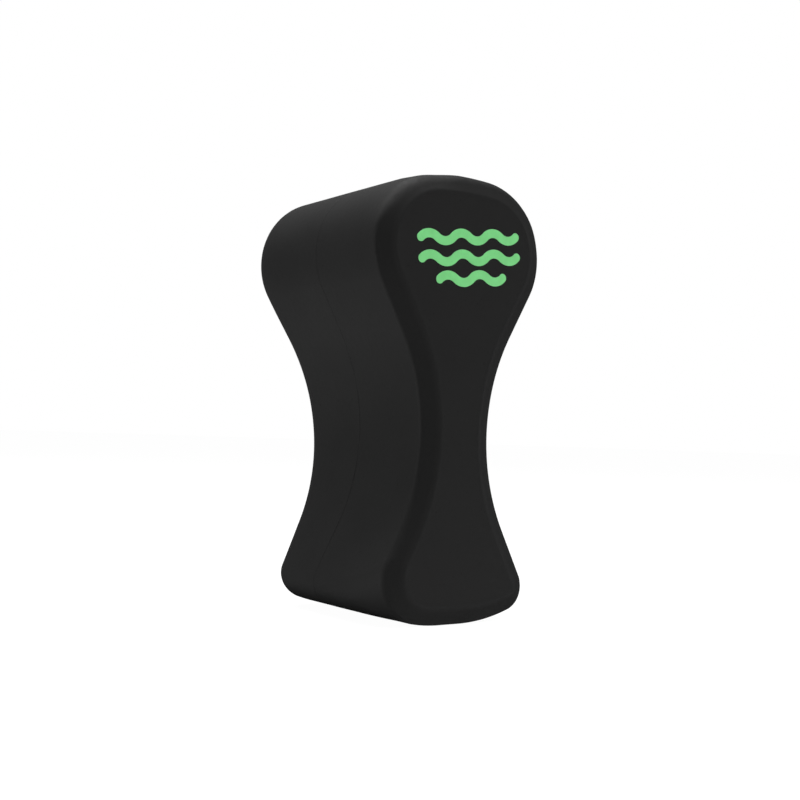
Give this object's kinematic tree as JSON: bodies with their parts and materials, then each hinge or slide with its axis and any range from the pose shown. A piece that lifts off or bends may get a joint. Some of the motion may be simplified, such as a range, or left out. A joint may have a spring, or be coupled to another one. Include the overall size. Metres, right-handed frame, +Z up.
{
  "type": "pull buoy",
  "caption": "Hourglass-shaped foam swim float held between the thighs, with bevelled front edges, rounded rear edges, a slim waist and a printed wave mark.",
  "frame": {"origin": "middle of the base, on the surface that the buoy stands on", "axes": "+Z up from the small lobe to the large lobe, +X across the buoy to the right seen from the printed face, -Y out of the printed front face"},
  "size_m": [0.105, 0.1388, 0.23],
  "materials": {
    "foam_front": "matte closed-cell EVA foam with a fine moulded skin",
    "foam_rear": "matte closed-cell EVA foam with a fine moulded skin",
    "adhesive": "dried black contact adhesive",
    "print": "bright green screen-printed ink"
  },
  "bodies": {
    "root": {"front_layer": "foam_front", "rear_layer": "foam_rear", "adhesive_film": "adhesive", "printed_wave_upper": "print", "printed_wave_middle": "print", "printed_wave_lower": "print"}
  },
  "joints": []
}
